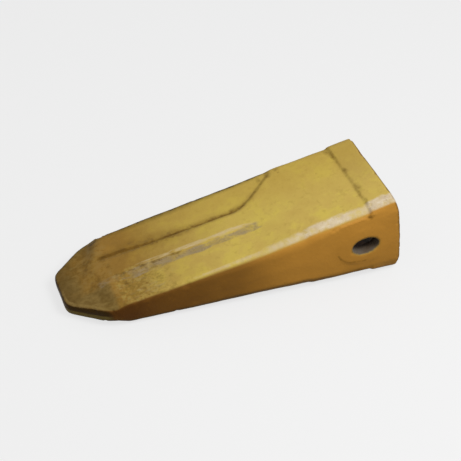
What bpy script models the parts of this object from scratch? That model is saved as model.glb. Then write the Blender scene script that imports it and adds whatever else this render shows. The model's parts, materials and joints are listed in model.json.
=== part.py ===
"""Rock bucket tooth: one cast steel piece that slips over an adapter nose.

A blunt chisel blade runs back into a box with a tapered pocket. The box has a
raised collar round its mouth and an oval pin bore through both cheeks. Upper
and lower face are the same, so the tooth can be turned over when it wears: a
central rib between two scooped flanks that sweep out to the edges in front of
the box. The tooth lies on its lower face, tip towards -X, mouth towards +X.

Metres, +Z up. The profile functions work in the tooth's own frame: x from the
tip back to the mouth, y across from the middle, z up from the parting plane.
"""
import math

import bmesh
import bpy
from mathutils import Matrix

# Overall casting
TOOTH_LENGTH = 0.2740       # to the rim at roof and floor
EAR_REACH = 0.0034          # the cheeks carry on back by this, in a shallow arc
EAR_ARC_POWER = 5.0         # 2 is a plain arc; more is flatter in the middle
BOX_LENGTH = 0.079          # from the mouth to where the blade begins
MOUTH_WIDTH = 0.1012        # across the parting line
BOX_HEIGHT = 0.0722         # at the mouth, under the collar
KNEE_HEIGHT = 0.0556        # where box and blade meet
SIDE_BOW = 0.0015           # the sides stand out a little at mid-length
CHEEK_DRAFT = math.radians(2.0)
MOUTH_FILLET = 0.0130       # long edges, at the mouth
SHOULDER_FILLET = 0.0026    # long edges, at the shoulders

# Blade and tip
SHOULDER_WIDTH = 0.0890
SHOULDER_SETBACK = 0.0315   # from the tip face
SHOULDER_ROUND = 0.009      # length of the soft corner at each shoulder
TIP_WIDTH = 0.0388
TIP_THICKNESS = 0.0104
TIP_EDGE = 0.0016           # rounding of the tip face
TIP_CORNER = 0.0050         # length of the soft corners of the tip in plan
TIP_CORNER_SHARE = 0.7      # how far they draw in, against a full quarter round
PAD_RISE = 0.0008           # the tip pad thickens by this to its back edge
PAD_REACH = 0.020           # pad depth on the middle line
PAD_ARCH = 0.014            # the pad's back edge sweeps back by this at the sides
RAMP_LENGTH = 0.014
BLADE_FRONT_THICKNESS = 0.0222

# Rib and flanks, on both faces
FLANK_DEPTH = 0.0024
FLANK_START = 0.034
FLANK_RUN_IN = 0.018
FLANK_END_DEPTH = 0.0013
FLANK_FADE = 0.006          # behind the sweep, where the flank's floor rises to the box
RIB_FRONT_WIDTH = 0.0200     # flat top of the rib
RIB_BACK_WIDTH = 0.0150
SWEEP_START = 0.041         # where the rib starts to widen, ahead of the box front
RIB_WALL = 0.0046           # plan width of the rib's sloping wall

# Collar
COLLAR_LENGTH = 0.0205
COLLAR_STEP = 0.0013
COLLAR_FLARE = 0.0007
COLLAR_RAMP = 0.0009
COLLAR_FADE_FROM = math.radians(22)   # the step dies out over this arc of the long edge
COLLAR_FADE_ARC = math.radians(30)
MOUTH_EDGE = 0.0012         # rounding of the mouth rim

# Pocket
CHEEK_WALL = 0.0105
ROOF_WALL = 0.0105
POCKET_DEPTH = 0.108
NOSE_WIDTH = 0.0700
NOSE_HEIGHT = 0.0240
MOUTH_CORNER = 0.0100
NOSE_CORNER = 0.0060
NOSE_EDGE = 0.0050
POCKET_LEAD_IN = 0.0018

# Pin bore and its boss on each cheek
PIN_SETBACK = 0.0276
PIN_LENGTHWISE = 0.0230
PIN_UPRIGHT = 0.0154
BOSS_MARGIN = 0.0115        # lengthwise, round the bore
BOSS_UPRIGHT_MARGIN = 0.0092
BOSS_PROUD = 0.0005
BOSS_EDGE = 0.0018
PIN_EDGE = 0.0008

CUT_PAST = 0.004            # cutters run past the faces by this

PAINT = (0.478, 0.360, 0.074, 1.0)

SECTION_FILLET_STEPS = 8
POCKET_CORNER_STEPS = 5
OVAL_STEPS = 40


def limit(t):
    return min(max(t, 0.0), 1.0)


def smooth(t):
    t = limit(t)
    return t * t * (3.0 - 2.0 * t)


def mix(a, b, t):
    return a + (b - a) * t


KNEE_X = TOOTH_LENGTH - BOX_LENGTH
BLADE_X = PAD_REACH + RAMP_LENGTH
COLLAR_X = TOOTH_LENGTH - COLLAR_LENGTH


def along_body(x):
    return (x - SHOULDER_SETBACK) / (TOOTH_LENGTH - SHOULDER_SETBACK)


def half_width(x):
    """Half width at the parting line."""
    u = along_body(x)
    body = mix(SHOULDER_WIDTH, MOUTH_WIDTH, u) / 2 + 4 * SIDE_BOW * max(u, 0) * (1 - u)
    chamfer = mix(TIP_WIDTH, SHOULDER_WIDTH, x / SHOULDER_SETBACK) / 2
    # Polynomial smooth minimum rounds the corner where the two lines cross.
    slope = (SHOULDER_WIDTH - TIP_WIDTH) / 2 / SHOULDER_SETBACK
    k = SHOULDER_ROUND * slope
    h = max(k - abs(body - chamfer), 0.0) / k
    corner = 0.0
    if x < TIP_CORNER:
        corner = TIP_CORNER - math.sqrt(TIP_CORNER ** 2 - (TIP_CORNER - x) ** 2)
    return min(body, chamfer) - h * h * k / 4 - corner * TIP_CORNER_SHARE


def blade_height(x):
    """Half thickness of rib, box and their straight run forward."""
    if x < KNEE_X:
        t = (x - BLADE_X) / (KNEE_X - BLADE_X)
        return mix(BLADE_FRONT_THICKNESS, KNEE_HEIGHT, t) / 2
    return mix(KNEE_HEIGHT, BOX_HEIGHT, (x - KNEE_X) / BOX_LENGTH) / 2


def pad_height(x):
    """Half thickness of the tip pad."""
    return TIP_THICKNESS / 2 + PAD_RISE * min(x / PAD_REACH, 1.5)


def fillet(x):
    return mix(SHOULDER_FILLET, MOUTH_FILLET, limit(along_body(x)))


def flank_depth(x):
    start = smooth((x - FLANK_START) / FLANK_RUN_IN)
    sweep = smooth((x - (KNEE_X - SWEEP_START)) / SWEEP_START)
    end = 1.0 - smooth((x - KNEE_X) / FLANK_FADE)
    return mix(FLANK_DEPTH, FLANK_END_DEPTH, sweep) * start * end


def rib_half_width(x):
    start = KNEE_X - SWEEP_START
    t = (x - FLANK_START) / (start - FLANK_START)
    rib = mix(RIB_FRONT_WIDTH, RIB_BACK_WIDTH, limit(t)) / 2
    out = edge_start(x) - RIB_WALL * 1.1
    s = limit((x - start) / SWEEP_START)
    return mix(rib, out, s ** 1.9 * (1.9 - 0.9 * s))


def edge_start(x):
    return half_width(x) - fillet(x)


def face_height(x, y):
    """Half thickness at plan position x, y."""
    blade = blade_height(x)
    rib = rib_half_width(x)
    blade -= flank_depth(x) * smooth((abs(y) - rib) / RIB_WALL)
    back = PAD_REACH + PAD_ARCH * (y / (SHOULDER_WIDTH / 2)) ** 2
    ramp = smooth((x - back) / RAMP_LENGTH)
    return mix(pad_height(x), blade, ramp)


def collar_lift(x):
    if x < COLLAR_X - COLLAR_RAMP:
        return 0.0
    rise = smooth((x - (COLLAR_X - COLLAR_RAMP)) / COLLAR_RAMP)
    return rise * (COLLAR_STEP + COLLAR_FLARE * max(x - COLLAR_X, 0.0) / COLLAR_LENGTH)


def quarter(x, trim):
    """Section from the middle of the face round to the parting line.

    trim pulls the section in all round, for the rounded tip and rim.
    """
    w = half_width(x) - trim
    edge = face_height(x, half_width(x))
    r = min(fillet(x), 0.8 * edge)
    start = w - r
    wall = min(RIB_WALL, start * 0.16)
    rib = min(rib_half_width(x), start - wall * 1.1)
    flat = [rib * t for t in (0.0, 0.35, 0.7, 1.0)]
    flat += [rib + wall * t for t in (0.25, 0.5, 0.75, 1.0)]
    flat += [mix(rib + wall, start, t) for t in (0.25, 0.5, 0.75)]
    lift = collar_lift(x)
    points = [(y, face_height(x, y) + lift - trim) for y in flat]
    for i in range(SECTION_FILLET_STEPS + 1):
        a = math.radians(90) * (1 - i / SECTION_FILLET_STEPS)
        out = lift * smooth((a - COLLAR_FADE_FROM) / COLLAR_FADE_ARC)
        y = start + (r + out) * math.cos(a)
        z = edge - trim - r + (r + out) * math.sin(a)
        points.append((y - max(z, 0.0) * math.tan(CHEEK_DRAFT) * math.cos(a), z))
    low = points[-1][1]
    points.append((w - low * 0.5 * math.tan(CHEEK_DRAFT), low * 0.5))
    points.append((w, 0.0))
    return points


def full_section(x, trim=0.0):
    q = quarter(x, trim)
    right = [(y, z) for y, z in q]
    ring = right + [(y, -z) for y, z in reversed(right[:-1])]
    ring += [(-y, -z) for y, z in right[1:]]
    ring += [(-y, z) for y, z in reversed(right[1:-1])]
    return ring


def loft(bm, rings, strips=0):
    """Skin a row of rings, each a list of 3D points, and cap both ends.

    With strips, the last cap is laid in level strips from side to side, which
    follow a curved rim. It is then the number of points in half of one face.
    """
    rows = [[bm.verts.new(p) for p in ring] for ring in rings]
    n = len(rows[0])
    for a, b in zip(rows, rows[1:]):
        for i in range(n):
            j = (i + 1) % n
            bm.faces.new((a[i], b[i], b[j], a[j]))
    bm.faces.new(rows[0])
    end = rows[-1]
    if strips:
        half = n // 2
        bm.faces.new([end[i] for i in range(-strips, strips + 1)])
        for i in range(strips, half - strips):
            bm.faces.new((end[i], end[i + 1], end[-i - 1], end[-i]))
        bm.faces.new([end[i] for i in range(half - strips, half + strips + 1)])
    else:
        bm.faces.new(list(reversed(end)))
    bmesh.ops.recalc_face_normals(bm, faces=bm.faces)


def new_object(name, bm):
    mesh = bpy.data.meshes.new(name)
    bm.to_mesh(mesh)
    bm.free()
    obj = bpy.data.objects.new(name, mesh)
    bpy.context.scene.collection.objects.link(obj)
    return obj


def stations():
    """Section planes: close together where the form changes fast."""
    xs = [0.0, TIP_EDGE * 0.3, TIP_EDGE, (TIP_EDGE + TIP_CORNER) / 2, TIP_CORNER]
    xs += [mix(TIP_CORNER, PAD_REACH, t) for t in (0.5, 0.8, 1.0)]
    last = PAD_REACH + PAD_ARCH + RAMP_LENGTH
    n = 13
    xs += [mix(PAD_REACH, last, (i + 1) / n) for i in range(n)]
    run = max(FLANK_START + FLANK_RUN_IN, last + RAMP_LENGTH)
    xs += [mix(last, run, (i + 1) / 3) for i in range(3)]
    sweep = KNEE_X - SWEEP_START
    xs += [mix(run, sweep, (i + 1) / 4) for i in range(4)]
    xs += [mix(sweep, KNEE_X, (i + 1) / 12) for i in range(12)]
    xs += [KNEE_X + FLANK_FADE * t for t in (0.33, 0.67, 1.0)]
    xs += [mix(KNEE_X + FLANK_FADE, COLLAR_X - COLLAR_RAMP, (i + 1) / 3) for i in range(3)]
    xs += [COLLAR_X - COLLAR_RAMP / 2, COLLAR_X]
    xs += [mix(COLLAR_X, TOOTH_LENGTH - MOUTH_EDGE, t) for t in (0.25, 0.5, 0.75, 1.0)]
    xs += [TOOTH_LENGTH - MOUTH_EDGE * 0.3, TOOTH_LENGTH]
    return xs


def end_trim(x):
    """Quarter-round easing of the tip face and of the mouth rim."""
    if x < TIP_EDGE:
        return TIP_EDGE - math.sqrt(max(TIP_EDGE ** 2 - (TIP_EDGE - x) ** 2, 0.0))
    near = x - (TOOTH_LENGTH - MOUTH_EDGE)
    if near > 0:
        return MOUTH_EDGE - math.sqrt(max(MOUTH_EDGE ** 2 - near ** 2, 0.0))
    return 0.0


def ear(x, z):
    """How far a point is carried back by the arc of the cheeks' rear edge."""
    t = smooth((x - COLLAR_X) / COLLAR_LENGTH)
    half = BOX_HEIGHT / 2 + COLLAR_STEP + COLLAR_FLARE
    return EAR_REACH * t * max(1.0 - abs(z / half) ** EAR_ARC_POWER, 0.0)


def casting():
    rings = [[(x + ear(x, z), y, z) for y, z in full_section(x, end_trim(x))]
             for x in stations()]
    bm = bmesh.new()
    loft(bm, rings, strips=len(quarter(TOOTH_LENGTH, 0.0)) - SECTION_FILLET_STEPS - 2)
    return new_object("tooth", bm)


def rounded_ring(x, width, height, radius):
    """Rounded rectangle across the tooth at x."""
    points = []
    for sy, sz, a0 in ((1, 1, 0), (-1, 1, 90), (-1, -1, 180), (1, -1, 270)):
        for i in range(POCKET_CORNER_STEPS + 1):
            a = math.radians(a0 + 90 * i / POCKET_CORNER_STEPS)
            points.append((x, sy * (width / 2 - radius) + radius * math.cos(a),
                           sz * (height / 2 - radius) + radius * math.sin(a)))
    return points


def pocket_cutter():
    """The adapter nose's space, tapered to the seat at its end."""
    mouth_w = MOUTH_WIDTH - 2 * CHEEK_WALL
    mouth_h = BOX_HEIGHT + 2 * (COLLAR_STEP + COLLAR_FLARE) - 2 * ROOF_WALL
    seat = TOOTH_LENGTH - POCKET_DEPTH

    def ring(x, inset, radius):
        t = (x - seat) / POCKET_DEPTH
        return rounded_ring(x, mix(NOSE_WIDTH, mouth_w, t) - 2 * inset,
                            mix(NOSE_HEIGHT, mouth_h, t) - 2 * inset, radius)

    rings = []
    for i in range(4):
        a = math.radians(90) * i / 3
        x = seat + NOSE_EDGE * (1 - math.sin(a))
        inset = NOSE_EDGE * (1 - math.cos(a))
        rings.append(ring(x, inset, max(NOSE_CORNER - inset, 0.0012)))
    rings.reverse()
    for t in (0.35, 0.70):
        rings.append(ring(mix(seat, TOOTH_LENGTH, t), 0.0, mix(NOSE_CORNER, MOUTH_CORNER, t)))
    lead = TOOTH_LENGTH - POCKET_LEAD_IN
    rings.append(ring(lead, 0.0, MOUTH_CORNER))
    past = EAR_REACH + CUT_PAST
    rings.append(ring(TOOTH_LENGTH + past, -POCKET_LEAD_IN - past,
                      MOUTH_CORNER + POCKET_LEAD_IN + past))
    bm = bmesh.new()
    loft(bm, rings)
    return new_object("pocket_cutter", bm)


def oval_ring(y, length, height):
    x0 = TOOTH_LENGTH - PIN_SETBACK
    return [(x0 + length / 2 * math.cos(a), y, height / 2 * math.sin(a))
            for a in (2 * math.pi * i / OVAL_STEPS for i in range(OVAL_STEPS))]


def bosses():
    """Low oval pads round the pin bore, one on each cheek."""
    x0 = TOOTH_LENGTH - PIN_SETBACK
    face = half_width(x0) + BOSS_PROUD
    inner = half_width(x0) - CHEEK_WALL / 2
    made = []
    for side in (-1, 1):
        bm = bmesh.new()
        loft(bm, [oval_ring(side * y, PIN_LENGTHWISE + 2 * (BOSS_MARGIN + grow),
                            PIN_UPRIGHT + 2 * (BOSS_UPRIGHT_MARGIN + grow))
                  for y, grow in ((inner, BOSS_EDGE), (face - BOSS_EDGE, BOSS_EDGE),
                                  (face - BOSS_EDGE * 0.25, BOSS_EDGE * 0.45), (face, 0.0))])
        made.append(new_object("boss_guide_left" if side < 0 else "boss_guide_right", bm))
    return made


def pin_cutter():
    """The oval bore right through both cheeks, with an eased lip outside."""
    x0 = TOOTH_LENGTH - PIN_SETBACK
    face = half_width(x0) + BOSS_PROUD
    past = face + CUT_PAST
    lip = PIN_EDGE + CUT_PAST
    bm = bmesh.new()
    loft(bm, [oval_ring(y, PIN_LENGTHWISE + 2 * grow, PIN_UPRIGHT + 2 * grow)
              for y, grow in ((-past, lip), (-face + PIN_EDGE, 0.0),
                              (face - PIN_EDGE, 0.0), (past, lip))])
    return new_object("pin_cutter", bm)


def as_guide(obj):
    obj.hide_render = True
    obj.display_type = "WIRE"


def combine(body, other, operation):
    as_guide(other)
    mod = body.modifiers.new(other.name, "BOOLEAN")
    mod.operation = operation
    mod.object = other
    mod.solver = "EXACT"
    return mod


def painted_steel():
    mat = bpy.data.materials.new("yellow paint on cast steel")
    mat.use_nodes = True
    shader = mat.node_tree.nodes["Principled BSDF"]
    shader.inputs["Base Color"].default_value = PAINT
    shader.inputs["Roughness"].default_value = 0.55
    shader.inputs["Metallic"].default_value = 0.0
    mat.diffuse_color = PAINT
    return mat


def lie_on_lower_face(body, guides):
    """Turn the tooth so that its front and its collar both touch Z = 0, and centre it."""
    low = {}
    for v in body.data.vertices:
        x = round(v.co.x, 6)
        low[x] = min(low.get(x, 0.0), v.co.z)
    xs = sorted(low)
    front = [x for x in xs if x < TOOTH_LENGTH / 2]
    back = [x for x in xs if x > TOOTH_LENGTH / 2]
    tilt = max(math.atan2(low[f] - low[b], b - f) for f in front for b in back
               if all(low[m] >= mix(low[f], low[b], (m - f) / (b - f)) - 1e-7 for m in xs))
    turn = Matrix.Rotation(-tilt, 4, "Y")
    spots = [turn @ v.co for v in body.data.vertices]
    shift = (-(min(p.x for p in spots) + max(p.x for p in spots)) / 2, 0.0,
             -min(p.z for p in spots))
    frame = bpy.data.objects.new("tooth_frame", None)
    bpy.context.scene.collection.objects.link(frame)
    frame.rotation_euler = (0.0, -tilt, 0.0)
    frame.location = shift
    for obj in [body] + guides:
        obj.parent = frame


def main():
    for obj in list(bpy.data.objects):
        bpy.data.objects.remove(obj)

    body = casting()
    guides = bosses()
    for boss in guides:
        combine(body, boss, "UNION")
    pocket = pocket_cutter()
    combine(body, pocket, "DIFFERENCE")
    pin = pin_cutter()
    combine(body, pin, "DIFFERENCE")
    body.data.materials.append(painted_steel())
    body.data.shade_smooth()
    body.data.set_sharp_from_angle(angle=math.radians(32))
    lie_on_lower_face(body, guides + [pocket, pin])


main()
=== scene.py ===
import json
import math
import random

import bpy
import numpy as np
from mathutils import Euler, Matrix, Vector, noise


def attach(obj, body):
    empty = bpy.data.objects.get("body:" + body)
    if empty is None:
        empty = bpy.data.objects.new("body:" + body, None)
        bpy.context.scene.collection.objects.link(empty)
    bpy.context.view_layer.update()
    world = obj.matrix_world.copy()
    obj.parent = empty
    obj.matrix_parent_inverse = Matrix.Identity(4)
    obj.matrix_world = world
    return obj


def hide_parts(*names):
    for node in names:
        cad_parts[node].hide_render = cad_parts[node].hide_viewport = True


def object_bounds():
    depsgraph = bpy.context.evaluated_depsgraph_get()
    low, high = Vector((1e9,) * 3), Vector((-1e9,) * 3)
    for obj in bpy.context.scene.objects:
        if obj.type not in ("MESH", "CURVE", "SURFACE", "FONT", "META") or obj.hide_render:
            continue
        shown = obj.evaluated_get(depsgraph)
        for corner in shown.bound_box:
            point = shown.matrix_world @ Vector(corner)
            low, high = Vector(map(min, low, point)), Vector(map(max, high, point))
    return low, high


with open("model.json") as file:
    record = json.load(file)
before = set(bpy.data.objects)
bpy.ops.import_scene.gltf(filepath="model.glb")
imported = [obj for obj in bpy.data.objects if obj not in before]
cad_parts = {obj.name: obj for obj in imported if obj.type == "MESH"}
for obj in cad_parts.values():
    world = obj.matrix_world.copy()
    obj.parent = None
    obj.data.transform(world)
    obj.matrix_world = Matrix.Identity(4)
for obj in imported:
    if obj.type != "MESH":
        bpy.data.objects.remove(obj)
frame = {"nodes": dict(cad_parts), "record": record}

bl_info = {
    "name": "Rock bucket tooth",
    "version": (1, 0, 0),
    "blender": (4, 5, 0),
    "location": "View3D > Sidebar > Bucket tooth",
    "description": "Dresses a cast bucket tooth: as-cast skin, rubbed enamel, bare socket, "
                   "and a plain studio",
    "category": "Add Mesh",
}

MM = 0.001
CAD_LOW, CAD_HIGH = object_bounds()

# The tooth's own frame: x from the tip back to the mouth, z up from the parting plane.
# The socket's seat is on its middle line, 166 mm behind the tip.
SEAT = next(m for m in frame["record"]["mounts"] if m["name"] == "pocket_seat")
SEAT_FROM_TIP = 0.166
LENGTHWAYS = Vector(SEAT["axis"])
TIP = Vector(SEAT["pos_m"]) - LENGTHWAYS * SEAT_FROM_TIP
TILT = math.atan2(LENGTHWAYS.z, LENGTHWAYS.x)
TOOTH_FRAME = Matrix.Translation(TIP) @ Matrix.Rotation(-TILT, 4, "Y")

# Places, from here to the films, are in mm in that frame. The near side is that of low y.
# Stops are places along x and the values at them, unless they say otherwise.

# The socket, which tells its bare walls from the outside: where its walls begin, where its seat
# is, and the middle and the most of its half width and half height.
SOCKET_WALLS_FROM = 163.0
SOCKET_SEAT = (160.0, 180.0)
SOCKET_MIDDLE = (38.0, 24.0)
SOCKET_MOST = (41.5, 29.5)
# The pin bore: its middle, half its length and height, and how far out it begins.
BORE_X = 246.4
BORE_HALF = (11.5, 7.7)
BORE_FROM = 37.0
# The stops of half the tooth's width.
HALF_WIDTH = ((0.0, 31.5, 152.0, 274.0), (19.4, 44.5, 49.0, 50.6))

# How thin the coat is toward the tip: first on the far flank, last on the near one.
THIN_FAR = ((50.0, 64.0, 80.0, 100.0, 120.0, 155.0), (1.0, 0.97, 0.68, 0.32, 0.16, 0.0))
THIN_RIB = ((45.0, 62.0, 80.0, 100.0, 120.0, 150.0), (1.0, 0.90, 0.64, 0.46, 0.27, 0.0))
THIN_NEAR = ((46.0, 62.0, 80.0, 105.0, 135.0), (1.0, 0.80, 0.38, 0.22, 0.0))
# The back edge of the scoured tip, x for each y, and how the scouring fades to it.
SCOURED_TO = ((-46.0, -18.0, -8.0, 4.0, 16.0, 25.0, 36.0, 44.0),
              (30.0, 26.0, 20.0, 24.0, 32.0, 38.0, 43.0, 46.0))
SCOUR_FADE = ((-24.0, -12.0, -3.0, 3.0), (1.0, 0.75, 0.55, 0.0))
FAR_SCOUR_FADE = ((-4.0, 4.0), (0.72, 0.0))

# The pale band along the near long edge, rubbed enamel with a painted highlight where the edge
# turns to the light: its outer edge, and the stops of its inner one.
RUB_AND_HIGHLIGHT_OUTER = (-47.6, -45.6)
RUB_AND_HIGHLIGHT_INNER = ((150.0, 200.0, 225.0), (-43.0, -39.6, -38.9))
# The rib's near side: the stops of its crest, which is painted pale as a highlight, and the
# middles of the worn wall and of the soiled cut above it.
RIB_CREST = ((54.0, 90.0, 120.0), (-7.8, -8.3, -8.9))
RIB_WALL_Y = -14.6
RIB_CUT_Y = -10.5
# The foot of the rib's far wall, from the pad at the tip to where the rib runs out, x and y,
# and how dark the shade painted along it is.
RIB_FOOT = ((39.0, 15.4), (50.0, 16.8), (62.0, 16.4), (78.0, 13.8), (89.0, 12.7), (111.0, 12.5),
            (133.0, 11.8), (152.0, 12.0), (164.0, 14.6), (172.0, 18.2), (194.0, 37.0))
FOOT_SHADE = ((96.0, 112.0, 140.0, 150.0, 172.0), (1.3, 0.82, 0.78, 0.9, 0.6))
# Painted shade along the far long edge, which turns away from the light: how dark, and how far
# in.
FAR_EDGE_SHADE = ((40.0, 70.0, 110.0, 184.0, 196.0), (0.55, 0.80, 1.15, 1.15, 0.45))
FAR_EDGE_SHADE_REACH = ((60.0, 100.0, 180.0, 196.0), (10.0, 12.0, 12.0, 10.0))

# Painted shade along the collar's step over the faces, and x and z of its end in the near cheek.
COLLAR_X = 252.6
COLLAR_END = (252.6, 27.6)
# Painted shade under the lower front edge of the round boss, x and z on the near cheek.
BOSS_ARC = ((222.0, -2.5), (224.5, -7.5), (230.0, -12.0), (241.0, -15.0), (246.0, -15.4))
# Casting pits on the upper face: x, y, radius, depth.
FACE_PITS = ((233.4, -36.0, 0.9, 0.3), (235.8, -37.4, 0.8, 0.3), (231.8, 17.3, 0.9, 0.3),
             (204.8, 36.0, 1.0, 0.4), (51.0, -21.5, 1.9, 0.4), (66.0, -30.0, 1.2, 0.2))
# Blots of soil on the upper face: x, y, radius. They are drawn out across the tooth.
BLOTS = ((250.6, 38.0, 3.8), (252.0, 29.0, 2.2), (253.6, 7.0, 2.6), (254.6, -19.0, 3.6),
         (254.0, -36.0, 1.6), (187.0, 37.5, 2.4), (196.0, 40.0, 3.6), (204.5, 41.0, 2.6),
         (51.0, -21.5, 2.0))
BLOT_DRAWN_OUT = 0.55
# Lumps of metal where mould sand broke away in the corner of the collar: x, y, radius, height.
COLLAR_LUMPS = ((251.8, 31.0, 2.4, 0.4), (252.8, -22.0, 2.0, 0.2))

# Rounds of averaging along the mesh: for a clean facing, for the cheek as a whole, for the
# blended forms, and for the bulges and corners over about 4 mm of surface.
FACING_ROUNDS = 3
CHEEK_ROUNDS = 20
BLEND_ROUNDS = 60
BULGE_ROUNDS = 14
# The even mesh draws in by this much at the outer edges, so the skin stands out by as much.
DRAWN_IN = 0.12
# The socket's sand-cast walls are rougher than the outside by this share.
SOCKET_ROUGHER = 1.2
# Where each cloud of the skin's own noise is taken from, for each seed.
SEED_SHIFT = (7.31, 3.17, 5.73)
# Distances given to points that face away from a mark, so that it doesn't reach them.
OUT_OF_REACH = 99.0
TURNED_AWAY = 9.0

# Clouds that break up the films: the size of their lumps in mm, their detail, and how far they
# are drawn out along the tooth. Grain is 0.9 mm grit drawn at 1.8 mm so that it shows.
CLOUDS = {
    "broad": (48.0, 2.0, 1.0),
    "patches": (17.0, 4.0, 1.0),
    "mottle": (5.0, 3.0, 1.0),
    "grain": (1.8, 2.0, 1.0),
    "scratches": (3.0, 3.0, 0.15),
}

# The finish, film over film. Each row says where the film is kept, the cloud that breaks its
# edge and how much, the levels between which it comes in, its most, and its colour or the
# setting that holds it.
FACE_FILMS = (
    # Drifts of the sprayed coat.
    (None, "patches", 1.0, -0.10, 0.25, 0.80, "ochre"),
    (None, "broad", 1.0, -0.06, 0.14, 0.50, "#CCB754"),
    (None, "patches", -1.0, 0.0, 0.12, 0.45, "#D0BA50"),
    (None, "mottle", 1.0, 0.04, 0.18, 0.35, "#AC9246"),
    ("collar", "patches", 1.0, 0.0, 1.0, 0.70, "#B2954E"),
    # The far half of the faces is painted darker, as shade where they turn from the light.
    ("far_face_shade", "patches", 0.5, 0.0, 1.0, 0.50, "#B8983F"),
    # Thin and warm toward the tip, scoured at it, with silt dried on the near side.
    ("thin", "patches", 0.9, 0.0, 1.0, 1.00, "russet"),
    ("scour", "patches", 0.7, 0.0, 1.0, 0.95, "olive"),
    ("thin", "patches", -4.5, 0.6, 1.6, 0.30, "#A27428"),
    ("thin", "mottle", 4.0, 0.6, 1.6, 0.20, "#7A5A22"),
    ("silt", "mottle", 2.0, 0.1, 0.9, 0.80, "silt"),
    ("scars", "mottle", 4.0, 0.9, 1.6, 0.40, "#5E4414"),
    ("scars", "scratches", -4.0, 1.0, 1.7, 0.35, "#8F7740"),
    ("scars", "mottle", -4.0, 0.9, 1.6, 0.25, "#917A48"),
    # Broken coat on the near flank behind the tip.
    ("speckle", "grain", 3.5, 0.9, 1.7, 0.40, "#66561E"),
    ("speckle", "mottle", 5.0, 0.9, 1.8, 0.35, "#75672A"),
    ("speckle", "mottle", -4.0, 0.9, 1.7, 0.40, "#B9A75C"),
    # Painted shade along the far long edge, darkest where it turns over, away from the light.
    ("far_edge_shade", "mottle", 1.2, 0.05, 0.90, 0.85, "#65521F"),
    ("far_rim_shade", "mottle", 6.0, 0.3, 1.4, 0.85, "#402F0D"),
)
# The cheeks, out of the dust: clean behind, browner ahead of the socket, dark at the tip.
CHEEK_FILMS = (
    ("brown", "broad", 0.5, 0.0, 1.0, 1.00, "#845A20"),
    ("front", "broad", 0.5, 0.0, 1.0, 1.00, "umber"),
    (None, "patches", 1.0, 0.02, 0.25, 0.25, "#B27A2A"),
)
# Wear and dirt, with painted shade and highlights, over the faces and the cheeks alike.
WEAR_DIRT_AND_PAINTED_LIGHT_FILMS = (
    # Shade painted under the faces that turn down and on the mouth's rim, and dirt at the tip.
    ("painted_shade_and_tip_grime", "mottle", 1.0, 0.0, 0.9, 0.70, "#5A4318"),
    # The blunt end of the tip: its end face painted dark as shade, the band along its foot
    # painted paler as light from the floor, and a rubbed ridge above.
    ("tip_end_shade", "mottle", 0.3, 0.1, 0.8, 1.00, "#3C2804"),
    ("tip_sill_floor_light", "mottle", 1.2, 0.2, 0.9, 0.90, "#806C36"),
    ("tip_ridge", "mottle", 5.0, 0.3, 1.4, 0.45, "#A88C54"),
    # The pale near edge: chalky rubbed enamel with a painted highlight, and primer and scratches
    # in it.
    ("rub_and_highlight", "mottle", 2.6, 0.15, 1.0, 0.85, "cream"),
    ("rub_and_highlight", "patches", 4.5, 0.9, 1.7, 0.55, "#B29C80"),
    ("rub_and_highlight", "patches", -4.5, 1.0, 1.8, 0.50, "#E8DECB"),
    ("rub_and_highlight", "scratches", -5.0, 1.2, 2.0, 0.50, "#EBE0CC"),
    ("rub_and_highlight", "grain", 4.5, 1.3, 2.1, 0.45, "#A68A5E"),
    # The near side of the rib, down to the primer, with a highlight painted along its crest.
    ("rib_side", "patches", 4.5, 0.5, 1.5, 0.62, "#90805F"),
    ("rib_side", "scratches", 4.5, 0.6, 1.5, 0.60, "clay"),
    ("rib_side", "grain", 4.5, 1.0, 1.9, 0.35, "#7A6444"),
    ("rib_crest_highlight", "scratches", 4.5, 0.4, 1.2, 0.70, "#C7B286"),
    ("rib_cut", "mottle", 4.0, 0.4, 1.3, 0.60, "#604818"),
    ("speckle", "scratches", 4.0, 1.1, 1.8, 0.30, "clay"),
    # Painted shade along the steps, in the corners and round the far rib foot, and blots of
    # soil.
    ("foot_shade_spread", "patches", 2.0, 0.0, 1.1, 0.55, "#80601F"),
    ("foot_shade_spread", "mottle", 5.0, 0.7, 1.6, 0.40, "#6F5630"),
    ("corner", "mottle", 1.0, 0.1, 0.9, 0.60, "soil"),
    ("line", "mottle", 3.0, 0.1, 1.0, 0.65, "soil"),
    ("line", "patches", 6.0, 0.9, 1.9, 0.50, "#4E360E"),
    ("blot", "mottle", 3.0, 0.15, 1.3, 0.60, "#6B4F1C"),
)
# Bare walls: flash rust over the scale in the socket, and a stain in the cleaner bore.
SOCKET_FILMS = (
    (None, "patches", 1.0, 0.0, 0.2, 0.60, "#4A2E1C"),
)
BORE_FILMS = (
    (None, "patches", 1.0, 0.0, 0.2, 0.60, "#5E4A34"),
)
OVERSPRAY = "#6B5526"
# How rough the enamel is in the mean, how much its mottle varies that, and how rough it is
# where it is rubbed smooth, along the painted shade lines, and where it is gone.
ENAMEL_ROUGH = 0.56
MOTTLE_ROUGH = 0.25
WORN_ROUGH = (("rub_and_highlight", 0.42), ("line", 0.85), ("hollow", 0.66))
# The coat's relief, in mm, and how strongly it shades.
COAT_RELIEF = 0.30
COAT_SHADING = 0.5

# A colour Mix node's two colour inputs and its colour output.
MIX_UNDER, MIX_OVER, MIX_OUT = 6, 7, 2

# The studio, in metres. The floor lies just under the part so that the two don't touch.
FLOOR_REACH = 6.0
FLOOR_Z = -0.0002
# How bright the paper shows, and the grey that it gives back to the part.
PAPER_SHOWN = 0.84
PAPER_GREY = 0.16
SOFT_BOX_SIZE = 0.55
SOFT_BOX_PLACE = (0.42, -0.50, 0.98)
SOFT_BOX_AIM = (0.0, 0.0, 0.03)
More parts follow.
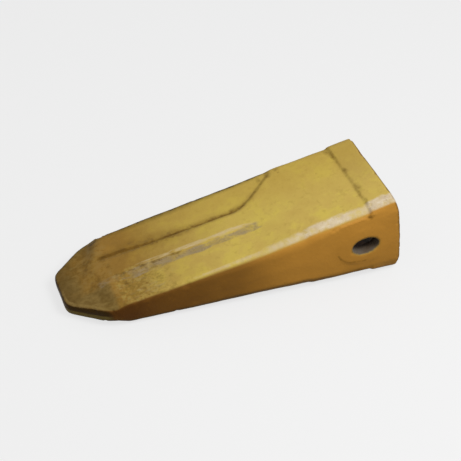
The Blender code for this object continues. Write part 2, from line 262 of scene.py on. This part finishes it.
# The camera in the tooth's own frame, in mm and degrees, fitted to the tooth's outline.
CAMERA_PLACE = (-91.54, -841.47, 762.98)
CAMERA_TURN = (49.2523, 4.6573, -19.8768)
SENSOR_WIDTH = 36.0


def linear(code):
    """sRGB hex to the linear colour that the shaders take."""
    parts = [int(code[i:i + 2], 16) / 255 for i in (1, 3, 5)]
    return [c / 12.92 if c <= 0.04045 else ((c + 0.055) / 1.055) ** 2.4 for c in parts]


def colour_setting(name, code, about):
    return bpy.props.FloatVectorProperty(
        name=name, description=about, subtype="COLOR", size=3, min=0.0, max=1.0,
        default=linear(code))


def length_setting(name, default, about):
    return bpy.props.FloatProperty(
        name=name, description=about, default=default, min=0.0, unit="LENGTH", precision=5)


class CastingSettings(bpy.types.PropertyGroup):
    grid: length_setting("Grid", 1.12 * MM, "Spacing of the skin's mesh")
    sway: length_setting("Sway", 0.28 * MM, "How far the faces wander from true, as cast")
    grain: length_setting("Grain", 0.07 * MM, "Height of the sand grain that the mesh carries")
    nick: length_setting("Nicks", 0.9 * MM, "Depth of the dents along the outer edges")
    pits: bpy.props.IntProperty(
        name="Pits", description="Small casting pits on the underside and the far cheek",
        default=16, min=0, max=300)
    yellow: colour_setting(
        "Enamel, faces", "#C9AE58", "Enamel on the upper and lower face")
    ochre: colour_setting(
        "Enamel, patches", "#BFA151", "Where the coat is thin and the primer warms it")
    russet: colour_setting(
        "Enamel, toward the tip", "#957130", "Thin, warm enamel on the front of the faces")
    orange: colour_setting(
        "Enamel, cheeks", "#C58C37", "Enamel on the sides, out of the dust")
    umber: colour_setting(
        "Grime, cheeks", "#5C370E", "Oil and soil on the sides toward the tip")
    olive: colour_setting(
        "Scoured tip", "#6A511F", "Thin enamel rubbed into the steel at the tip")
    silt: colour_setting(
        "Silt at the tip", "#766031", "Film of dried silt on the near side of the tip")
    # The pale of the near edge: rubbed enamel with a painted highlight.
    cream: colour_setting(
        "Rubbed edge", "#D7C5A8", "Enamel rubbed pale along the raised edges")
    clay: colour_setting(
        "Primer", "#9C8A6E", "Grey primer where the enamel is gone")
    # Dark brown painted as shade in the corners and along the steps.
    soil: colour_setting(
        "Soil", "#6B4A12", "Soil held in the corners")
    steel: colour_setting(
        "Bare steel", "#6A6054", "Cast steel inside the pin bore")
    scale: colour_setting(
        "Socket", "#1A140E", "Heat scale inside the socket")


class StudioSettings(bpy.types.PropertyGroup):
    backdrop: colour_setting(
        "Backdrop", "#EFEFEF", "Floor and background as the camera sees them")
    key: bpy.props.FloatProperty(
        name="Key", description="Power of the soft box", default=9.0, min=0.0, unit="POWER")
    sky: bpy.props.FloatProperty(
        name="Sky", description="Level of the light from all round", default=0.42, min=0.0)
    lens: bpy.props.FloatProperty(
        name="Lens", description="Focal length on a 36 mm frame", default=109.33, min=20.0,
        unit="CAMERA")


def to_tooth(points):
    """World points or directions from TIP, turned into the tooth's own frame."""
    c, s = LENGTHWAYS.x, LENGTHWAYS.z
    return np.stack((points[:, 0] * c + points[:, 2] * s, points[:, 1],
                     points[:, 2] * c - points[:, 0] * s), 1)


def step(value, low, high):
    """Smooth step from 0 at low to 1 at high; falls where high is below low."""
    t = np.clip((value - low) / (high - low), 0.0, 1.0)
    return t * t * (3.0 - 2.0 * t)


def between(value, start, full, fading, end):
    """Rises smoothly from 0 at start to 1 at full, and falls from fading to 0 at end."""
    return step(value, start, full) * step(value, end, fading)


def from_line(u, v, line):
    """Distance of each point u, v from a line through the given points."""
    nearest = np.full(len(u), np.inf)
    for (au, av), (bu, bv) in zip(line, line[1:]):
        du, dv = bu - au, bv - av
        t = np.clip(((u - au) * du + (v - av) * dv) / (du * du + dv * dv), 0.0, 1.0)
        nearest = np.minimum(nearest, np.hypot(u - au - t * du, v - av - t * dv))
    return nearest


def wander(points, size, seed, octaves):
    """Soft noise from -1 to 1 with lumps of the given size in mm."""
    shift = Vector([seed * along for along in SEED_SHIFT])
    return np.array([noise.fractal(Vector(p) / (size * MM) + shift, 1.0, 2.0, octaves)
                     for p in points])


def even_skin(node, grid):
    """The node's own surface as a fine even mesh, its facets eased away."""
    source = bpy.data.objects.new("skin_source", node.data.copy())
    bpy.context.scene.collection.objects.link(source)
    remesh = source.modifiers.new("Even mesh", "REMESH")
    remesh.mode = "VOXEL"
    remesh.voxel_size = grid
    ease = source.modifiers.new("Ease facets", "SMOOTH")
    ease.factor = 0.5
    ease.iterations = 3
    bpy.context.view_layer.update()
    evaluated = source.evaluated_get(bpy.context.evaluated_depsgraph_get())
    mesh = bpy.data.meshes.new_from_object(evaluated)
    old = source.data
    bpy.data.objects.remove(source)
    bpy.data.meshes.remove(old)
    return mesh


class Skin:
    """The mesh of the casting, with the place and facing of each point on the tooth.

    The steps that work on it add what they find: hollow and outside, the upper face with its
    rounded edges, the flats of both faces, the boss, the pits, and how far the skin bulges.
    """

    def __init__(self, mesh):
        self.mesh = mesh
        edges = np.empty(len(mesh.edges) * 2, np.int64)
        mesh.edges.foreach_get("vertices", edges)
        self.edges = edges.reshape(-1, 2).T
        self.points = self.read("co")
        self.normals = self.read("normal")
        self.place = (to_tooth(self.points - np.array(TIP)) / MM).T
        facing = to_tooth(self.spread(self.normals, FACING_ROUNDS))
        self.facing = (facing / np.linalg.norm(facing, axis=1)[:, None]).T

    def read(self, kind):
        values = np.empty(len(self.mesh.vertices) * 3, np.float32)
        self.mesh.vertices.foreach_get(kind, values)
        return values.reshape(-1, 3).astype(float)

    def store(self, name, values):
        """Keep a value for each point, for the shader to read by name."""
        attribute = self.mesh.attributes.new(name, "FLOAT", "POINT")
        attribute.data.foreach_set("value", values.astype(np.float32))

    def spread(self, values, rounds):
        """Average each value with its neighbours' along the mesh, so many times."""
        count = len(self.mesh.vertices)
        a, b = self.edges
        links = np.bincount(a, minlength=count) + np.bincount(b, minlength=count)
        rows = values.reshape(count, -1)
        for _ in range(rounds):
            total = np.stack([np.bincount(a, column[b], count) + np.bincount(b, column[a], count)
                              for column in rows.T], 1)
            rows = (rows + total / links[:, None]) / 2
        return rows.reshape(values.shape)


# In the steps below x, y and z are in mm, and nx, ny and nz run from -1 to 1.

def find_hollows(skin):
    """Tell the bare walls of the socket and the pin bore from the enamelled outside."""
    x, y, z = skin.place
    nx, ny, nz = skin.facing
    # Inside the socket every wall faces the middle line; the seat faces the mouth.
    inward = -(ny * y / SOCKET_MIDDLE[0] + nz * z / SOCKET_MIDDLE[1])
    walls = (inward > 0.25) & (x > SOCKET_WALLS_FROM)
    seat = (nx > 0.4) & (x > SOCKET_SEAT[0]) & (x < SOCKET_SEAT[1])
    socket = (walls | seat) & (np.abs(y) < SOCKET_MOST[0]) & (np.abs(z) < SOCKET_MOST[1])
    # How far out from the middle of the bore, 1 at its edge.
    skin.from_bore = np.hypot((x - BORE_X) / BORE_HALF[0], z / BORE_HALF[1])
    bore = (skin.from_bore < 1.12) & (np.abs(y) > BORE_FROM) & (np.abs(ny) < 0.75)
    skin.hollow = skin.spread((socket | bore).astype(float), 2)
    skin.outside = 1.0 - skin.hollow
    skin.upper = step(nz, -0.1, 0.4) * skin.outside
    skin.flat = step(np.abs(nz), 0.45, 0.7) * skin.outside
    skin.store("hollow", skin.hollow)
    skin.store("deep", skin.hollow * step(x, 276.0, 264.0))
    skin.store("bore", skin.spread(bore.astype(float), 1) * step(np.abs(y), 39.0, 45.0))


def fettle(skin):
    """Blend the boss round the bore into the cheek, and the near flank into the face."""
    x, y, z = skin.place
    ny, nz = skin.facing[1:]
    cheek = np.abs(skin.spread(ny, CHEEK_ROUNDS)) > 0.85
    cheek = cheek * skin.outside * (skin.from_bore > 1.15)
    level = skin.spread(np.abs(y) * cheek, BLEND_ROUNDS)
    level /= np.maximum(skin.spread(cheek, BLEND_ROUNDS), 0.05)
    boss = cheek * step(np.abs(y), 44.0, 46.0) * between(skin.from_bore, 1.15, 1.4, 3.7, 4.4)
    # The lower front of the boss stays a little proud.
    boss *= 1.0 - 0.25 * step(x, 244.0, 234.0) * step(z, -2.0, -7.0)
    skin.points[:, 1] += (level - np.abs(y)) * np.sign(y) * boss * MM
    skin.boss = boss

    run_out = between(x, 158.0, 172.0, 216.0, 232.0) * between(y, -43.0, -36.0, -14.0, -6.0)
    run_out *= nz > 0.5
    skin.points += (skin.spread(skin.points, BLEND_ROUNDS) - skin.points) * run_out[:, None]


def sink_pits(skin, count):
    """The depth of the casting pits in mm: those that show, and others drawn out of sight."""
    x, y, z = skin.place
    ny, nz = skin.facing[1:]
    pits = [((px, py, None), radius, depth) for px, py, radius, depth in FACE_PITS]
    draw = random.Random(11)
    level = (skin.hollow < 0.01) & (np.abs(skin.bulge) < 0.08)
    unseen = np.flatnonzero(level & ((nz < -0.5) | (ny > 0.5)))
    for _ in range(count):
        i = unseen[int(draw.random() * len(unseen))]
        radius = 0.7 + 0.8 * draw.random()
        pits.append(((x[i], y[i], z[i]), radius, radius * (0.2 + 0.2 * draw.random())))
    skin.pit = np.zeros(len(x))
    sunk = np.zeros(len(x))
    for (px, py, pz), radius, depth in pits:
        away = np.hypot(x - px, y - py)
        away = np.where(nz > 0.5, away, OUT_OF_REACH) if pz is None else np.hypot(away, z - pz)
        near = step(away, radius * 1.5, radius * 0.3) * skin.outside
        sunk += near * depth
        skin.pit = np.maximum(skin.pit, near)
    return sunk


def cast(skin, settings):
    """Move the skin as the mould and the handling left it."""
    x, y, _ = skin.place
    smooth = skin.spread(skin.points, BULGE_ROUNDS)
    skin.bulge = ((skin.points - smooth) * skin.normals).sum(1) / MM
    sway = wander(skin.points, 26.0, 1, 2)
    skin.patch = wander(skin.points, 11.0, 2, 3)
    grain = wander(skin.points, 3.4, 3, 2)

    lift = settings.grain * grain * (1.0 + SOCKET_ROUGHER * skin.hollow)
    lift += settings.sway * sway + skin.outside * DRAWN_IN * MM
    tipmost = step(x, 16.0, 5.0)
    nick = step(skin.patch + 0.5 * grain + 0.15 * tipmost, 0.25, 0.75)
    nick *= step(skin.bulge, 0.10, 0.32) * skin.outside
    lift -= settings.nick * nick * (1.0 + 0.5 * tipmost)
    lift -= sink_pits(skin, settings.pits) * MM
    for px, py, radius, height in COLLAR_LUMPS:
        away = np.hypot((x - px) * 1.3, y - py)
        away = np.where(skin.facing[2] > 0.3, away, OUT_OF_REACH)
        lift += step(away, radius, radius * 0.2) * height * MM

    moved = skin.points + skin.normals * lift[:, None]
    moved[:, 2] = np.maximum(moved[:, 2], CAD_LOW[2])
    skin.mesh.vertices.foreach_set("co", moved.astype(np.float32).ravel())


def mark_coat(skin):
    """Mark where the coat is thin, scoured, scarred or broken."""
    x, y, _ = skin.place
    far = step(y, 8.0, 18.0)
    rib = between(y, -22.0, -14.0, 10.0, 18.0)
    skin.store("cheek", step(np.abs(skin.facing[2]), 0.80, 0.50) * skin.outside)
    skin.store("front", np.interp(x, (46.0, 118.0), (1.0, 0.0)))
    skin.store("brown", step(x, 190.0, 120.0))
    skin.store("collar", step(x, 250.0, 256.0) * step(y, -30.0, 10.0) * skin.flat)
    # The far half of the faces, painted darker as shade.
    skin.store("far_face_shade", step(y, -16.0, 36.0) * skin.flat)

    thin = np.interp(x, *THIN_RIB) * rib + np.interp(x, *THIN_NEAR) * (1.0 - rib)
    skin.store("thin", np.interp(x, *THIN_FAR) * far + thin * (1.0 - far))
    behind = x - np.interp(y, *SCOURED_TO)
    scour = np.interp(behind, *SCOUR_FADE)
    skin.store("scour", np.maximum(scour, np.interp(behind, *FAR_SCOUR_FADE) * far))
    near_corner = step(y, -10.0, -20.0) * step(x, 41.0, 36.0)
    near_end = step(y, 12.0, 0.0) * step(x, 22.0, 12.0)
    skin.store("silt", np.maximum(near_corner, 0.7 * near_end) * skin.flat)
    skin.store("scars", step(x, 60.0, 40.0) * skin.flat)
    speckle = between(x, 34.0, 46.0, 66.0, 128.0) * step(y, 2.0, -12.0)
    skin.store("speckle", speckle * skin.flat)


def mark_rubbing_and_highlight(skin):
    """Mark the raised edges painted pale, as rubbed enamel with a painted highlight, and the
    near side of the rib.
    """
    x, y, _ = skin.place
    ny = skin.facing[1]
    # The near long edge, where it turns to the light, is painted pale: rubbed enamel with a
    # painted highlight.
    # Next to the collar's step the band is painted duller, as the step's shade.
    inner = np.interp(x, *RUB_AND_HIGHLIGHT_INNER) + 1.8 * skin.patch
    band = step(y, *RUB_AND_HIGHLIGHT_OUTER) * step(y, inner + 2.4, inner - 2.2)
    band *= (0.10 + 0.90 * step(x, 120.0, 228.0)) * step(x, 66.0, 100.0)
    band *= 1.0 - 0.45 * step(np.abs(x - 243.0), 12.0, 5.0)
    corner = step(skin.bulge, 0.04, 0.16) * between(-ny, 0.10, 0.35, 0.50, 0.75)
    corner *= step(x, 76.0, 120.0)
    skin.store("rub_and_highlight", np.maximum(band, 0.42 * corner) * skin.upper)

    # The crest of the rib's near side is painted pale, as a highlight.
    from_crest = np.abs(y - np.interp(x, *RIB_CREST))
    crest = between(x, 46.0, 84.0, 158.0, 176.0) * step(from_crest, 2.5, 0.9)
    skin.store("rib_crest_highlight", crest * skin.upper)
    from_wall = np.abs(y - RIB_WALL_Y + 1.2 * skin.patch)
    reach = 5.0 + 2.2 * step(x, 96.0, 78.0) + 1.2 * step(x, 146.0, 156.0)
    wall = 0.65 * step(x, 24.0, 32.0) + 0.35 * step(x, 52.0, 66.0)
    wall *= step(x, 178.0, 162.0) * (1.08 + 0.3 * skin.patch) * step(from_wall, reach, 2.4)
    skin.store("rib_side", wall * skin.upper)
    from_cut = np.abs(y - RIB_CUT_Y + skin.patch)
    cut = between(x, 36.0, 50.0, 98.0, 118.0) * step(from_cut, 1.7, 0.5)
    skin.store("rib_cut", cut * skin.upper)


def mark_edge_shade_and_tip_grime(skin):
    """Mark the shade painted on the far long edge, under the faces and on the mouth's rim, and
    the dirt at the tip.
    """
    x, y, z = skin.place
    nx, ny, nz = skin.facing
    # Shade is painted along the far long edge, darkest on its rim.
    inset = np.interp(x, *HALF_WIDTH) - y
    edge = step(inset, np.interp(x, *FAR_EDGE_SHADE_REACH), 0.5)
    skin.store("far_edge_shade", edge * np.interp(x, *FAR_EDGE_SHADE) * skin.upper)
    rim = step(ny, 0.12, 0.35) * step(inset, 10.0, 7.0) * step(x, 205.0, 185.0)
    skin.store("far_rim_shade", rim * skin.upper)
    # Shade is painted under the faces that turn down and on the mouth's rim. The blended boss
    # faces down in places, but gets none.
    under = step(-nz, 0.02, 0.40) * np.abs(ny) * (1.0 - skin.boss * step(z, -26.0, -20.0))
    under *= 1.0 - 0.7 * step(x, 240.0, 256.0)
    mouth = step(nx, 0.12, 0.50)
    tip = 0.75 * step(x, 17.0, 4.0) * skin.flat
    skin.store("painted_shade_and_tip_grime", np.maximum(np.maximum(under, mouth) * skin.outside, tip))


def mark_soil_and_shade(skin):
    """Mark the shade painted along steps, in corners and round the far rib foot, and the blots
    of soil.
    """
    x, y, z = skin.place
    ny, nz = skin.facing[1:]
    foot = from_line(x, y, RIB_FOOT) + TURNED_AWAY * step(np.abs(nz), 0.5, 0.2)
    above_foot = between(x, 70.0, 82.0, 96.0, 108.0) * between(y, 5.5, 9.0, 12.5, 14.5)
    collar = np.abs(x - COLLAR_X - 0.9 * skin.patch)
    collar_shade = (0.30 + 0.26 * step(np.abs(y), 8.0, 34.0)) * (0.75 + 0.7 * skin.patch)
    collar_end = np.hypot((x - COLLAR_END[0]) * 0.55, (z - COLLAR_END[1]) * 1.3)
    collar_end += TURNED_AWAY * step(-ny, 0.45, 0.25)
    arc = from_line(x, z, BOSS_ARC) + TURNED_AWAY * step(-ny, 0.6, 0.3)
    # Each line is painted shade: at the foot of the rib's far wall and on the rib beside it,
    # along the collar's step and at its end, and under the boss's lower front edge.
    lines = (
        step(foot, 3.2, 0.5) * np.interp(x, *FOOT_SHADE),
        0.45 * above_foot * skin.flat,
        step(collar, 2.4, 0.3) * step(np.abs(nz), 0.15, 0.4) * collar_shade,
        0.8 * step(collar_end, 2.6, 0.8),
        0.6 * step(arc, 1.3, 0.2),
    )
    skin.store("line", np.maximum.reduce(lines) * skin.outside)
    # The shade painted at the far rib foot spreads wide over the flank.
    reach = 7.0 + 7.5 * between(x, 50.0, 66.0, 98.0, 124.0)
    skin.store("foot_shade_spread", step(foot, reach, 1.5) * step(x, 196.0, 150.0) * skin.outside)
    # Shade is painted in the concave corners that face down, ahead of the boss.
    corner = step(-skin.bulge, 0.05, 0.26) * (foot > 6.0)
    corner *= step(x, 236.0, 226.0) * step(nz, 0.2, -0.2)
    skin.store("corner", corner * skin.outside)
    blot = np.zeros(len(x))
    for px, py, radius in BLOTS:
        away = np.hypot(x - px, (y - py) * BLOT_DRAWN_OUT)
        blot = np.maximum(blot, step(away, radius * 1.5, 0.0))
    skin.store("blot", np.maximum(blot * step(nz, 0.3, 0.5), skin.pit))


def mark_tip(skin):
    """Mark the blunt end of the tip, painted dark as shade, the sill along its foot, painted
    paler as light from the floor, and the ridge along its top.
    """
    x, y, z = skin.place
    nx, _, nz = skin.facing
    end = step(-nx, 0.25, 0.55) * step(np.abs(nz), 0.75, 0.45) * step(x, 60.0, 30.0)
    skin.store("tip_end_shade", end)
    skin.store("tip_sill_floor_light", end * between(z, -5.0, -4.2, -0.9, 0.9))
    ridge = step(skin.bulge, 0.05, 0.25) * step(nz, 0.45, 0.65)
    ridge *= step(x, 34.0, 24.0) * step(y, 2.0, -6.0)
    skin.store("tip_ridge", ridge * skin.outside)


def weather(mesh, settings):
    """Cast and wear the skin, and keep where each kind of wear is for the shader."""
    skin = Skin(mesh)
    find_hollows(skin)
    fettle(skin)
    cast(skin, settings)
    for mark in (mark_coat, mark_rubbing_and_highlight, mark_edge_shade_and_tip_grime, mark_soil_and_shade, mark_tip):
        mark(skin)
    mesh.update()


def add(tree, kind, sockets=None, out=0, **settings):
    """Add one node with its settings; sockets gives inputs a value or another node's output.

    The output that out names comes back, or nothing where out is None.
    """
    node = tree.nodes.new(kind)
    for name, value in settings.items():
        setattr(node, name, value)
    for name, value in (sockets or {}).items():
        socket = node.inputs[name]
        if isinstance(value, bpy.types.NodeSocket):
            tree.links.new(value, socket)
        else:
            socket.default_value = (*value, 1.0) if socket.type == "RGBA" else value
    return None if out is None else node.outputs[out]


def new_material(name):
    material = bpy.data.materials.new(name)
    material.use_nodes = True
    tree = material.node_tree
    tree.nodes.clear()
    return material, tree


def lay_films(tree, settings, cloud, under, films):
    """Lay each film over those before it, where it is kept and its cloud lets it lie."""
    for kept, lumps, amount, low, high, most, colour in films:
        share = add(tree, "ShaderNodeMath",
                    {0: cloud[lumps], 1: amount, 2: 1.0 if kept else 0.0},
                    operation="MULTIPLY_ADD")
        if kept:
            place = add(tree, "ShaderNodeAttribute", attribute_name=kept, out="Fac")
            share = add(tree, "ShaderNodeMath", {0: share, 1: place}, operation="MULTIPLY")
        share = add(tree, "ShaderNodeMapRange",
                    {"Value": share, "From Min": low, "From Max": high, "To Max": most})
        film = linear(colour) if colour.startswith("#") else getattr(settings, colour)
        under = add(tree, "ShaderNodeMix", {0: share, MIX_UNDER: under, MIX_OVER: film},
                    out=MIX_OUT, data_type="RGBA")
    return under


def enamelled_casting(settings):
    """Alkyd enamel, one sprayed coat over sand-cast steel, knocked about in handling.

    The coat is semi-gloss and follows the sand skin, so highlights along the edges are broad
    and broken. Dust dulls the faces, primer shows where the coat is rubbed through, and the
    socket and the pin bore are bare. Shade is painted in the corners, along the steps, on the
    far, lower and mouth edges and on the end of the tip, and a highlight along the near edge.
    """
    material, tree = new_material("Alkyd enamel on sand-cast steel")
    where = add(tree, "ShaderNodeTexCoord", out="Object")
    cloud = {}
    for name, (size, detail, drawn_out) in CLOUDS.items():
        spot = add(tree, "ShaderNodeMapping", {"Vector": where, "Scale": (drawn_out, 1.0, 1.0)})
        lumps = add(tree, "ShaderNodeTexNoise",
                    {"Vector": spot, "Scale": 1.0 / (size * MM), "Detail": detail,
                     "Roughness": 0.6})
        # Centred on zero, so that a film comes in and goes out by the same amount.
        cloud[name] = add(tree, "ShaderNodeMath", {0: lumps, 1: 0.5}, operation="SUBTRACT")

    face = lay_films(tree, settings, cloud, settings.yellow, FACE_FILMS)
    side = lay_films(tree, settings, cloud, settings.orange, CHEEK_FILMS)
    cheek = add(tree, "ShaderNodeAttribute", attribute_name="cheek", out="Fac")
    coat = add(tree, "ShaderNodeMix", {0: cheek, MIX_UNDER: face, MIX_OVER: side},
               out=MIX_OUT, data_type="RGBA")
    coat = lay_films(tree, settings, cloud, coat, WEAR_DIRT_AND_PAINTED_LIGHT_FILMS)

    # Overspray dusts the mouth of the socket.
    hollow = add(tree, "ShaderNodeAttribute", attribute_name="hollow", out="Fac")
    deep = add(tree, "ShaderNodeAttribute", attribute_name="deep", out="Fac")
    bore = add(tree, "ShaderNodeAttribute", attribute_name="bore", out="Fac")
    socket = lay_films(tree, settings, cloud, settings.scale, SOCKET_FILMS)
    socket = add(tree, "ShaderNodeMix",
                 {0: deep, MIX_UNDER: linear(OVERSPRAY), MIX_OVER: socket},
                 out=MIX_OUT, data_type="RGBA")
    steel = lay_films(tree, settings, cloud, settings.steel, BORE_FILMS)
    wall = add(tree, "ShaderNodeMix", {0: bore, MIX_UNDER: socket, MIX_OVER: steel},
               out=MIX_OUT, data_type="RGBA")
    bare = add(tree, "ShaderNodeMath", {0: hollow, 1: bore}, operation="MAXIMUM")
    colour = add(tree, "ShaderNodeMix", {0: bare, MIX_UNDER: coat, MIX_OVER: wall},
                 out=MIX_OUT, data_type="RGBA")

    rough = add(tree, "ShaderNodeMath",
                {0: cloud["mottle"], 1: MOTTLE_ROUGH, 2: ENAMEL_ROUGH},
                operation="MULTIPLY_ADD")
    for kept, level in WORN_ROUGH:
        place = add(tree, "ShaderNodeAttribute", attribute_name=kept, out="Fac")
        rough = add(tree, "ShaderNodeMix", {0: place, 2: rough, 3: level})

    # The sand skin under the coat, and the coat's own orange peel over 5 mm.
    relief = add(tree, "ShaderNodeMath", {0: cloud["grain"], 1: 0.75, 2: cloud["mottle"]},
                 operation="MULTIPLY_ADD")
    bump = add(tree, "ShaderNodeBump",
               {"Strength": COAT_SHADING, "Distance": COAT_RELIEF * MM, "Height": relief})
    # Enamel's IOR; the dust on it keeps its gloss well under that of a clean coat.
    shader = add(tree, "ShaderNodeBsdfPrincipled",
                 {"Base Color": colour, "Roughness": rough, "Normal": bump, "IOR": 1.5,
                  "Specular IOR Level": 0.10})
    add(tree, "ShaderNodeOutputMaterial", {"Surface": shader}, out=None)
    return material


def shown(tree):
    """1 to the camera, in reflections and through see-through parts, and 0 to other light."""
    seen = add(tree, "ShaderNodeLightPath", out="Is Camera Ray")
    for ray in ("Is Glossy Ray", "Is Transmission Ray"):
        other = add(tree, "ShaderNodeLightPath", out=ray)
        seen = add(tree, "ShaderNodeMath", {0: seen, 1: other}, operation="MAXIMUM")
    return seen


def studio_paper(settings):
    """Seamless matt paper, which gives a broad soft shadow and no gloss.

    It shows as pale as the background, but gives back only a little light.
    """
    material, tree = new_material("Pale studio paper, matt")
    strength = add(tree, "ShaderNodeMath", {0: shown(tree), 1: PAPER_SHOWN},
                   operation="MULTIPLY")
    glow = add(tree, "ShaderNodeEmission", {"Color": settings.backdrop, "Strength": strength})
    matt = add(tree, "ShaderNodeBsdfDiffuse", {"Color": (PAPER_GREY,) * 3})
    both = add(tree, "ShaderNodeAddShader", {0: glow, 1: matt})
    add(tree, "ShaderNodeOutputMaterial", {"Surface": both}, out=None)
    return material


def add_floor(scene, settings):
    mesh = bpy.data.meshes.new("floor")
    corners = [(-1, -1), (1, -1), (1, 1), (-1, 1)]
    mesh.from_pydata([(FLOOR_REACH * x, FLOOR_REACH * y, 0.0) for x, y in corners], [],
                     [(0, 1, 2, 3)])
    mesh.materials.append(studio_paper(settings))
    floor = bpy.data.objects.new("floor", mesh)
    floor.location.z = FLOOR_Z
    scene.collection.objects.link(floor)


def add_sky(scene, settings):
    """Even light from all round, and the background that shows."""
    world = bpy.data.worlds.new("studio")
    world.use_nodes = True
    tree = world.node_tree
    tree.nodes.clear()
    light = add(tree, "ShaderNodeBackground",
                {"Color": (1.0, 1.0, 1.0), "Strength": settings.sky})
    backdrop = add(tree, "ShaderNodeBackground",
                   {"Color": settings.backdrop, "Strength": 1.0})
    both = add(tree, "ShaderNodeMixShader", {0: shown(tree), 1: light, 2: backdrop})
    add(tree, "ShaderNodeOutputWorld", {"Surface": both}, out=None)
    scene.world = world


def add_soft_box(scene, settings):
    light = bpy.data.lights.new("soft_box", "AREA")
    light.shape = "SQUARE"
    light.size = SOFT_BOX_SIZE
    light.energy = settings.key
    soft_box = bpy.data.objects.new("soft_box", light)
    soft_box.location = SOFT_BOX_PLACE
    aim = Vector(SOFT_BOX_AIM) - soft_box.location
    soft_box.rotation_euler = aim.to_track_quat("-Z", "Y").to_euler()
    scene.collection.objects.link(soft_box)


def add_camera(scene, settings):
    lens = bpy.data.cameras.new("camera")
    lens.sensor_width = SENSOR_WIDTH
    lens.lens = settings.lens
    camera = bpy.data.objects.new("camera", lens)
    turn = Euler([math.radians(angle) for angle in CAMERA_TURN])
    place = Matrix.LocRotScale(Vector(CAMERA_PLACE) * MM, turn, None)
    camera.matrix_world = TOOTH_FRAME @ place
    scene.collection.objects.link(camera)
    bpy.context.scene.camera = camera


class BUCKET_TOOTH_OT_casting(bpy.types.Operator):
    """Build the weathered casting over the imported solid"""
    bl_idname = "bucket_tooth.casting"
    bl_label = "Casting"

    def execute(self, context):
        settings = context.scene.bucket_tooth_casting
        mesh = even_skin(frame["nodes"]["tooth"], settings.grid)
        mesh.name = "cast_tooth"
        weather(mesh, settings)
        mesh.materials.clear()
        mesh.materials.append(enamelled_casting(settings))
        mesh.shade_smooth()
        tooth = bpy.data.objects.new("cast_tooth", mesh)
        context.scene.collection.objects.link(tooth)
        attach(tooth, "root")
        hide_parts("tooth")
        return {"FINISHED"}


class BUCKET_TOOTH_OT_studio(bpy.types.Operator):
    """Set the floor, the light and the camera"""
    bl_idname = "bucket_tooth.studio"
    bl_label = "Studio"

    def execute(self, context):
        scene = context.scene
        for part in (add_floor, add_sky, add_soft_box, add_camera):
            part(scene, scene.bucket_tooth_studio)
        scene.view_settings.view_transform = "Standard"
        return {"FINISHED"}


class BUCKET_TOOTH_PT_panel(bpy.types.Panel):
    """Sizes, colours and the steps that use them"""
    bl_idname = "BUCKET_TOOTH_PT_panel"
    bl_label = "Bucket tooth"
    bl_space_type = "VIEW_3D"
    bl_region_type = "UI"
    bl_category = "Bucket tooth"

    def draw(self, context):
        scene = context.scene
        for settings, operator in ((scene.bucket_tooth_casting, "bucket_tooth.casting"),
                                   (scene.bucket_tooth_studio, "bucket_tooth.studio")):
            box = self.layout.box()
            for name in settings.__annotations__:
                box.prop(settings, name)
            box.operator(operator)


CLASSES = (CastingSettings, StudioSettings, BUCKET_TOOTH_OT_casting, BUCKET_TOOTH_OT_studio,
           BUCKET_TOOTH_PT_panel)


def register():
    for item in CLASSES:
        bpy.utils.register_class(item)
    bpy.types.Scene.bucket_tooth_casting = bpy.props.PointerProperty(type=CastingSettings)
    bpy.types.Scene.bucket_tooth_studio = bpy.props.PointerProperty(type=StudioSettings)


def unregister():
    del bpy.types.Scene.bucket_tooth_studio
    del bpy.types.Scene.bucket_tooth_casting
    for item in reversed(CLASSES):
        bpy.utils.unregister_class(item)


def main():
    register()
    bpy.ops.bucket_tooth.casting()
    bpy.ops.bucket_tooth.studio()


if __name__ == "__main__":
    main()
